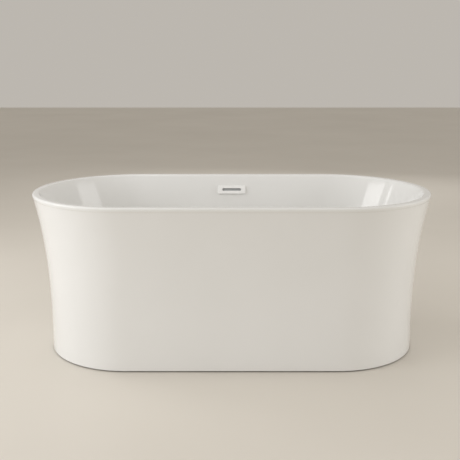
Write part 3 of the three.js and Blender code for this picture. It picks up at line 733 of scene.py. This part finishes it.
def make_nut(kind, name):
    """A hexagon nut whose corners are chamfered on both faces."""
    node = f"{kind}_{name}"
    size = size_of(node)
    corner, height = size.x / 2, size.z
    face = corner - 1.8
    lead_in = 0.6
    section = [(STUD_HOLE + lead_in, 0), (face, 0), (corner, NUT_CHAMFER), (corner, height - NUT_CHAMFER),
               (face, height), (STUD_HOLE + lead_in, height), (STUD_HOLE, height - lead_in),
               (STUD_HOLE, lead_in)]
    turned(f"{node}_detail", in_metres(section), upright(node), node, 72, hexed(size.y * MM))


def make_foot(name):
    make_pad(name)
    make_stud(name)
    for kind in ("adjuster_nut", "lock_nut"):
        make_nut(kind, name)


# ------------------------------------------------------------------ drain and plug
# In mm.
THROAT_RADIUS = 24.5
THROAT_BORE = 22
FLANGE_RADIUS = 35
FLANGE_THICKNESS = 2.5
THROAT_PITCH = 2.3
CAP_RADIUS = 32
CAP_EDGE = 2.5
SEAL_RADIUS = 27.5
SPINDLE_RADIUS = 4
COLLAR_REACH = 4
COLLAR_HEIGHT = 3
PIPE_RADIUS = 19.5  # the waste pipe's
PIPE_BORE = 16.5


def make_flange():
    """The drain's flange: a domed seat on a throat that is threaded outside. Its bore has a small lip below
    the mouth."""
    node = "drain_flange"
    low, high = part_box(node)
    top = (high.z - low.z) / MM
    under = top - FLANGE_THICKNESS
    throat = rows(THROAT_RADIUS, 0, under, 0.5)
    rim = [throat[-1], (FLANGE_RADIUS, under), (FLANGE_RADIUS, top - 0.6), (FLANGE_RADIUS - 1.6, top),
           (THROAT_RADIUS + 1, top - 0.3), (THROAT_BORE, top - 1.4), (THROAT_BORE, top - 8)]
    rim_points = rounded(rim, 0.8)[CORNER_STEPS + 1:]  # without the corner that ends the throat
    section = in_metres([(THROAT_BORE, 0), *throat]) + rim_points
    cut = threaded(THROAT_RADIUS, THROAT_PITCH, 0.9, 1, top - 7)
    turned("flange", section, upright(node), node, 96, cut)


def make_drain_rings():
    """The gasket and the washer that seal the basin's floor."""
    hole = HOLE_RADIUS / MM
    for name, node, reach, soft in (("flange_gasket", "drain_gasket", 8, 0.5),
                                    ("body_washer", "drain_washer", 12, 0.7)):
        section = ring_outline(hole, hole + reach, 0, size_of(node).z)
        turned(name, rounded(section, soft), upright(node), node, 96)


def make_cap():
    """The plug's cap, with a low dome."""
    height = size_of("plug_cap").z
    section = [(0, 0), (CAP_RADIUS - 1, 0), (CAP_RADIUS, 1), (CAP_RADIUS, CAP_EDGE)]
    steps = 14
    for i in range(1, steps):
        turn = pi / 2 * i / steps
        section.append((CAP_RADIUS * cos(turn), CAP_EDGE + (height - CAP_EDGE) * sin(turn)))
    section.append((0, height))
    turned("cap", in_metres(section), upright("plug_cap"), "plug_cap", 96)


def make_seal():
    """The lipped seal under the cap."""
    height = size_of("plug_seal").z
    inner = SEAL_RADIUS - 4
    section = [(inner, 0), (SEAL_RADIUS - 0.9, 0), (SEAL_RADIUS, 1.2), (SEAL_RADIUS - 0.7, height),
               (inner, height)]
    turned("cap_seal", rounded(section, 0.5), upright("plug_seal"), "plug_seal", 96)


def make_spindle():
    """The plug's spindle: a groove near its foot, and a collar that rests on the spring."""
    node = "plug_spindle"
    length = size_of(node).z
    collar = (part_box("plug_spring")[1].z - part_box(node)[0].z + GAP) / MM
    radius, groove, wide = SPINDLE_RADIUS, 3.2, SPINDLE_RADIUS + COLLAR_REACH
    section = [(0, 0), (radius, 0), (radius, 3), (groove, 3.4), (groove, 5), (radius, 5.4), (radius, collar),
               (wide, collar), (wide, collar + COLLAR_HEIGHT), (radius, collar + COLLAR_HEIGHT),
               (radius, length), (0, length)]
    turned("spindle", rounded(section, 0.5), upright(node), node, 48)


def make_waste_body():
    """The body under the basin: a flange, a banded barrel with an inlet for the overflow, and an outlet."""
    node = "waste_body"
    low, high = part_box(node)
    top = size_of(node).z
    bore, flange, barrel, band, outlet, sump = 25.5, 40, 29, 30.2, 20, 15.5
    section = [(bore, top), (flange, top), (flange, top - 5), (barrel + 2, top - 9), (barrel, top - 12),
               (barrel, 30), (band, 28), (band, 24), (barrel, 22), (barrel, 12), (barrel - 2, 12),
               (outlet, 11), (outlet, 0), (PIPE_BORE, 0), (PIPE_BORE, sump), (bore, sump)]
    body = turned("body", rounded(section, 1.2), Matrix.Translation((0, 0, low.z)), node, 96)
    inlet = Matrix.Translation((0, 0, middle("hose_nut_bottom").z)) @ ALONG_Y
    reach = high.y / MM
    spigot, spigot_bore = 10, 7.5
    combine(body, rod_tool(spigot, bore + 1, reach, inlet), "UNION")
    combine(body, rod_tool(spigot_bore, 0, reach + 5, inlet), "DIFFERENCE")


# ------------------------------------------------------------------ overflow
COVER_HEIGHT = 36 * MM
COVER_DEPTH = 7 * MM
COVER_WALL = 2 * MM
SLOT_WIDTH = 80 * MM
SLOT_HEIGHT = 10 * MM
PLATE_HEIGHT = 24 * MM
PLATE_THICKNESS = 2 * MM
PLATE_SLOT_HEIGHT = 5 * MM
PLATE_SLOT_RISE = 4.2 * MM
SCREW_RADIUS = 2  # in mm


def rounded_rectangle(half_width, half_height, radius, y):
    """A ring in the overflow's plane: a rectangle with round corners, at depth y."""
    steps = 10
    ring = []
    for x_sign, z_sign, start in ((1, 1, 0), (-1, 1, 90), (-1, -1, 180), (1, -1, 270)):
        for i in range(steps + 1):
            angle = radians(start + 90 * i / steps)
            x = x_sign * (half_width - radius) + radius * cos(angle)
            z = z_sign * (half_height - radius) + radius * sin(angle)
            ring.append(OVERFLOW_PLACE @ Vector((x, y, z)))
    return ring


def arc_steps(count):
    """Shares (1 - cos, 1 - sin) of evenly spaced turns from 0 to 90 degrees."""
    turns = [pi / 2 * i / count for i in range(count + 1)]
    return [(1 - cos(turn), 1 - sin(turn)) for turn in turns]


def make_overflow_cover():
    """A hollow moulded cover with a softened face and a round-ended slot."""
    half_w, half_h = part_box("overflow_cover")[1].x, COVER_HEIGHT / 2
    slot_radius = 0.96 * SLOT_HEIGHT / 2
    face = -GAP - COVER_DEPTH
    floor = face + COVER_WALL
    corner, soft, lip, edge, fillet = 5 * MM, 1.8 * MM, 0.9 * MM, 0.3 * MM, 1 * MM
    rings = []

    def ring(width, height, radius, y):
        rings.append(rounded_rectangle(width, height, radius, y))

    def wall_ring(inset, y):
        ring(half_w - inset, half_h - inset, corner - inset, y)

    def slot_ring(grow, y):
        ring(SLOT_WIDTH / 2 + grow, SLOT_HEIGHT / 2 + grow, slot_radius + grow, y)

    slot_ring(0, floor)
    for outward, inward in arc_steps(5):
        slot_ring(lip * outward, face + lip * inward)
    for outward, inward in arc_steps(5):
        wall_ring(soft * inward, face + soft * outward)
    wall_ring(0, -GAP - edge)
    wall_ring(edge, -GAP)
    wall_ring(COVER_WALL, -GAP)
    wall_ring(COVER_WALL, floor + fillet)
    wall_ring(COVER_WALL + fillet, floor)
    loft("cover", rings, "overflow_cover", closed=True, sharp=radians(50))


def make_overflow_plate():
    """The back plate, with its own slot higher than the cover's."""
    half_w, half_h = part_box("overflow_plate")[1].x, PLATE_HEIGHT / 2
    front, back = -GAP - PLATE_THICKNESS, -GAP
    slot_half, edge = PLATE_SLOT_HEIGHT / 2, 0.5 * MM
    rise = OVERFLOW_PLACE.to_3x3() @ Vector((0, 0, PLATE_SLOT_RISE))
    rings = []
    for y in (back, front):
        slot = rounded_rectangle(SLOT_WIDTH / 2, slot_half, 0.96 * slot_half, y)
        rings.append([p + rise for p in slot])
    rings.append(rounded_rectangle(half_w - edge, half_h - edge, 3 * MM, front))
    rings.append(rounded_rectangle(half_w, half_h, 3.5 * MM, front + edge))
    rings.append(rounded_rectangle(half_w, half_h, 3.5 * MM, back))
    plate = loft("plate", rings, "overflow_plate", closed=True)
    for side in ("left", "right"):
        hole = rod_tool(SCREW_RADIUS + 0.3, -4, 2, screw_place(side))
        combine(plate, hole, "DIFFERENCE")


def screw_place(side):
    """The axis of one overflow screw, pointing into the wall."""
    x = middle(f"overflow_screw_{side}").x
    return Matrix.Translation((x, 0, 0)) @ OVERFLOW_PLACE @ ALONG_Y


def make_screw(side):
    """A pan-head screw with a cross recess."""
    node = f"overflow_screw_{side}"
    place = screw_place(side)
    head, seat, end = -4.5, -2.9, 10.1
    head_radius, tip, taper = 3.6, 0.6, 2.2
    shank = rows(SCREW_RADIUS, seat + 0.3, end - taper, 0.3)
    section = rounded([(0, head), (2.2, head), (head_radius, head + 1), (head_radius, seat),
                       (SCREW_RADIUS, seat)], 0.5)
    section += in_metres([*shank, (tip, end), (0, end)])
    cut = threaded(SCREW_RADIUS, 1.2, 0.5, -1, end - taper - 0.1)
    screw = turned(f"screw_{side}", section, place, node, 40, cut)
    recess_long, recess_wide, recess_deep = 1.7, 0.35, 0.9
    for half_x, half_y in ((recess_long, recess_wide), (recess_wide, recess_long)):
        low = Vector((-half_x, -half_y, head - 0.5)) * MM
        high = Vector((half_x, half_y, head + recess_deep)) * MM
        combine(screw, box_tool(low, high, place), "DIFFERENCE")


# ------------------------------------------------------------------ hose
HOSE_RADIUS = 12 * MM
HOSE_WALL = 1.7 * MM
HOSE_CUFF = 24 * MM
HOSE_PITCH = 5 * MM
HOSE_DIP = 1.2 * MM
BEND_SHARE = 0.6  # how far each cuff's direction carries into the bend


def hose_curve():
    """Closely spaced points down the hose's middle: two straight cuffs and a bend between them."""
    down = OVERFLOW_PLACE.to_3x3() @ Vector((0, 0, -1))
    out = Vector((0, 1, 0))
    top = middle("hose_nut_top") + down * GAP
    low = middle("hose_nut_bottom") + out * GAP
    bend_top, bend_low = top + down * HOSE_CUFF, low + out * HOSE_CUFF
    handle_top = bend_top + down * BEND_SHARE * (bend_top.z - bend_low.z)
    handle_low = bend_low + out * BEND_SHARE * (bend_top.y - bend_low.y)
    points = [top]
    samples = 400
    for i in range(samples + 1):
        t = i / samples
        points.append(bend_top * (1 - t) ** 3 + handle_top * 3 * t * (1 - t) ** 2
                      + handle_low * 3 * t ** 2 * (1 - t) + bend_low * t ** 3)
    points.append(low)
    return points


def evenly_spaced(points, step):
    """Pairs of (distance from the start, point) at even steps along a line of points."""
    lengths = [0]
    for a, b in zip(points, points[1:]):
        lengths.append(lengths[-1] + (b - a).length)
    total = lengths[-1]
    count = round(total / step)
    route = []
    k = 0
    for i in range(count + 1):
        s = total * i / count
        while k < len(lengths) - 2 and lengths[k + 1] < s:
            k += 1
        share = (s - lengths[k]) / (lengths[k + 1] - lengths[k])
        route.append((s, points[k].lerp(points[k + 1], share)))
    return route


def make_hose():
    """The corrugated hose, plain at both cuffs."""
    route = evenly_spaced(hose_curve(), HOSE_PITCH / 4)
    total = route[-1][0]
    across = Vector((1, 0, 0))
    segments = 32
    outer, inner = [], []
    for i, (s, point) in enumerate(route):
        ahead, behind = route[min(i + 1, len(route) - 1)][1], route[max(i - 1, 0)][1]
        side = (ahead - behind).normalized().cross(across)
        plain = min(s, total - s) < HOSE_CUFF
        dip = 0 if plain else HOSE_DIP * (0.5 - 0.5 * cos(2 * pi * s / HOSE_PITCH))
        for rings, radius in ((outer, HOSE_RADIUS - dip), (inner, HOSE_RADIUS - HOSE_WALL - dip / 2)):
            ring = []
            for j in range(segments):
                angle = 2 * pi * j / segments
                ring.append(point + radius * (cos(angle) * across + sin(angle) * side))
            rings.append(ring)
    loft("corrugated_hose", outer + inner[::-1], "overflow_hose", closed=True, sharp=radians(60))


def make_hose_nuts():
    """Two fluted hand nuts, each with a collar at its far end."""
    half = HOSE_CUFF / 2 / MM
    bore, barrel, collar, collar_height = 12.5, 16, 16.5, 4
    section = [(bore, -half), (barrel, -half), (barrel, half - collar_height - 1),
               (collar, half - collar_height), (collar, half), (bore, half)]
    tilt = Matrix.Rotation(-SIDE_SLOPE, 4, "X")
    for node, turn in (("hose_nut_top", tilt), ("hose_nut_bottom", ALONG_Y)):
        place = Matrix.Translation(middle(node)) @ turn
        turned(f"{node}_detail", rounded(section, 0.8), place, node, 108, gripped(barrel, 18, 0.8))


# ------------------------------------------------------------------ trap
# In mm.
CUP_RADIUS = 50
CUP_WALL = 3
LID_THICKNESS = 5
LID_SPIGOT = 8
DIP_RADIUS = 19
WEIR_RADIUS = 9.5
WEIR_RISE = 6


def hand_nut(name, node, place, length, bore, barrel, collar_height):
    """A fluted hand nut with a collar at its far end."""
    collar = barrel + 1
    section = [(bore, 0), (barrel, 0), (barrel, length - collar_height - 1), (collar, length - collar_height),
               (collar, length), (bore, length)]
    turned(name, rounded(section, 1), place, node, 120, gripped(barrel, 20, 1))


def make_union_nut():
    node = "trap_union_nut"
    hand_nut("union_nut", node, upright(node), size_of(node).z, bore=20.3, barrel=27, collar_height=3)


def make_lid():
    """The trap's lid, with a spigot up into the union and the dip tube down into the cup."""
    node = "trap_lid"
    top = size_of(node).z
    lid, edge = top - LID_SPIGOT, 1
    under = lid - LID_THICKNESS
    section = [(PIPE_BORE, top), (DIP_RADIUS + 1, top), (DIP_RADIUS + 1, lid), (CUP_RADIUS - 2, lid),
               (CUP_RADIUS, lid - edge), (CUP_RADIUS, under), (DIP_RADIUS, under), (DIP_RADIUS, 0),
               (PIPE_BORE, 0)]
    turned("lid", rounded(section, 0.9), upright(node), node, 120)


def make_cup(outlet_height):
    """The trap's cup: the water leaves over the weir hole, through the spigot on its side."""
    node = "trap_cup"
    low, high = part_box(node)
    top = size_of(node).z
    inside = CUP_RADIUS - CUP_WALL
    section = [(0, 0), (CUP_RADIUS - 6, 0), (CUP_RADIUS - 1, 3), (CUP_RADIUS, 8), (CUP_RADIUS, top),
               (inside, top), (inside, 6), (inside - 4, CUP_WALL), (0, CUP_WALL)]
    cup = turned("cup", rounded(section, 2), Matrix.Translation((0, 0, low.z)), node, 120)
    spigot = Matrix.Translation((0, 0, outlet_height)) @ ALONG_X
    weir = Matrix.Translation((0, 0, outlet_height + WEIR_RISE * MM)) @ ALONG_X
    reach = high.x / MM
    combine(cup, rod_tool(PIPE_RADIUS, inside + 0.5, reach, spigot), "UNION")
    combine(cup, rod_tool(PIPE_BORE, CUP_RADIUS + 2, reach + 5, spigot), "DIFFERENCE")
    combine(cup, rod_tool(WEIR_RADIUS, 30, CUP_RADIUS + 4, weir), "DIFFERENCE")


def make_outlet(outlet_height):
    """The outlet pipe and the nut that holds it on the cup."""
    def place(node):
        return Matrix.Translation((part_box(node)[0].x, 0, outlet_height)) @ ALONG_X

    section = ring_outline(PIPE_BORE, PIPE_RADIUS, 0, size_of("outlet_pipe").x)
    turned("pipe", rounded(section, 0.8), place("outlet_pipe"), "outlet_pipe", 96)
    node = "outlet_nut"
    hand_nut("outlet_nut_detail", node, place(node), size_of(node).x, bore=19.8, barrel=25, collar_height=4)


def make_trap():
    outlet_height = middle("outlet_pipe").z
    make_union_nut()
    make_lid()
    make_cup(outlet_height)
    make_outlet(outlet_height)


# ------------------------------------------------------------------ carried-over CAD nodes
# Bend and mould radii in mm, by material slot.
EDGE_BEVELS = {"steel": 1.4, "zinc": 1.2, "grey_plastic": 0.8}
OTHER_BEVEL = 0.5


def dress_cad_nodes():
    """Every CAD node gets its slot's finish, and those still showing get a small bevel on their edges."""
    for name, node in frame["nodes"].items():
        node.data.materials.clear()
        node.data.materials.append(MATERIALS[SLOT_OF[name]])
        if node.hide_render:
            continue
        bevel = node.modifiers.new("edges", "BEVEL")
        bevel.width = EDGE_BEVELS.get(SLOT_OF[name], OTHER_BEVEL) * MM
        bevel.segments = 2
        bevel.limit_method = "ANGLE"
        bevel.angle_limit = radians(50)


# ------------------------------------------------------------------ stage and light
FLOOR_REACH = 14
ROOM_COLOUR = (0.84, 0.79, 0.72, 1)
ROOM_STRENGTH = 0.6
BATH_TOP = Vector((0, 0, 0.55))
BATH_MIDDLE = (0, 0, 0.35)


def make_stage():
    mesh = bpy.data.meshes.new("floor")
    corners = [(-FLOOR_REACH, -FLOOR_REACH, 0), (FLOOR_REACH, -FLOOR_REACH, 0),
               (FLOOR_REACH, FLOOR_REACH, 0), (-FLOOR_REACH, FLOOR_REACH, 0)]
    mesh.from_pydata(corners, [], [(0, 1, 2, 3)])
    mesh.materials.append(floor_finish())
    floor = bpy.data.objects.new("floor", mesh)
    scene.collection.objects.link(floor)

    world = bpy.data.worlds.new("studio")
    world.use_nodes = True
    background = world.node_tree.nodes["Background"]
    background.inputs["Color"].default_value = ROOM_COLOUR
    background.inputs["Strength"].default_value = ROOM_STRENGTH
    scene.world = world
    scene.view_settings.view_transform = "Standard"


def area_light(name, width, height, power):
    data = bpy.data.lights.new(name, "AREA")
    data.shape = "RECTANGLE"
    data.size = width
    data.size_y = height
    data.energy = power
    light = bpy.data.objects.new(name, data)
    scene.collection.objects.link(light)
    return light


def soft_light(name, place, target, size, power, colour=(1, 1, 1), shines=False):
    """A large soft light. Glossy surfaces reflect it only if it shines."""
    light = area_light(name, *size, power)
    light.data.color = colour
    light.location = place
    light.rotation_euler = (Vector(target) - Vector(place)).to_track_quat("-Z", "Y").to_euler()
    light.visible_glossy = shines


def window_light(name, near, far, height, power):
    """A window that glossy surfaces reflect. Its top edge runs from near to far, and it faces the bath."""
    near, far = Vector(near), Vector(far)
    across = (far - near).normalized()
    away = (near + far) / 2 - BATH_TOP
    away = (away - across * away.dot(across)).normalized()
    up = away.cross(across)
    if up.z < 0:
        across, up = -across, -up
    light = area_light(name, (far - near).length, height, power)
    centre = (near + far) / 2 - up * height / 2
    turn = Matrix((across, up, away)).transposed().to_4x4()
    light.matrix_world = Matrix.Translation(centre) @ turn


def make_lights():
    """A large cool key from the left and a weaker fill from the right, soft light from the front, above and
    behind, one more for the inside of the right end, and windows on both sides for the reflections."""
    soft_light("key", (-3.0, -1.4, 1.1), BATH_MIDDLE, (1.8, 1.8), 30, (0.91, 0.94, 1))
    soft_light("fill", (3.2, -0.5, 1.3), BATH_MIDDLE, (1.4, 1.4), 21)
    soft_light("front", (-0.6, -4.2, 1.2), BATH_MIDDLE, (3.0, 1.2), 18.5, (1, 0.985, 0.965))
    soft_light("top", (-1.8, -0.7, 3.3), BATH_MIDDLE, (3.0, 3.0), 22, shines=True)
    soft_light("inside", (-2.4, 0.9, 2.2), (0.6, 0, 0.5), (1.0, 0.8), 13)
    soft_light("back", (0.8, 4.0, 1.6), BATH_MIDDLE, (3.0, 1.6), 16)
    window_light("window_left", (-3.0, -1.5, 2.34), (-3.0, 0.2, 2.08), 0.8, 13)
    window_light("window_small", (-3.0, 0.82, 1.98), (-3.0, 1.06, 1.95), 0.24, 0.6)
    window_light("window_right", (3.0, -1.5, 2.33), (3.0, 0.4, 2.03), 0.8, 8.5)


make_camera()
make_stage()
make_lights()
make_basin()
make_skirt()
make_bond()
make_board()
for foot_name in ("front_left", "front_right", "back_left", "back_right", "centre"):
    make_foot(foot_name)
make_flange()
make_drain_rings()
make_cap()
make_seal()
make_spindle()
make_waste_body()
make_overflow_cover()
make_overflow_plate()
for screw_side in ("left", "right"):
    make_screw(screw_side)
make_hose()
make_hose_nuts()
make_trap()
dress_cad_nodes()
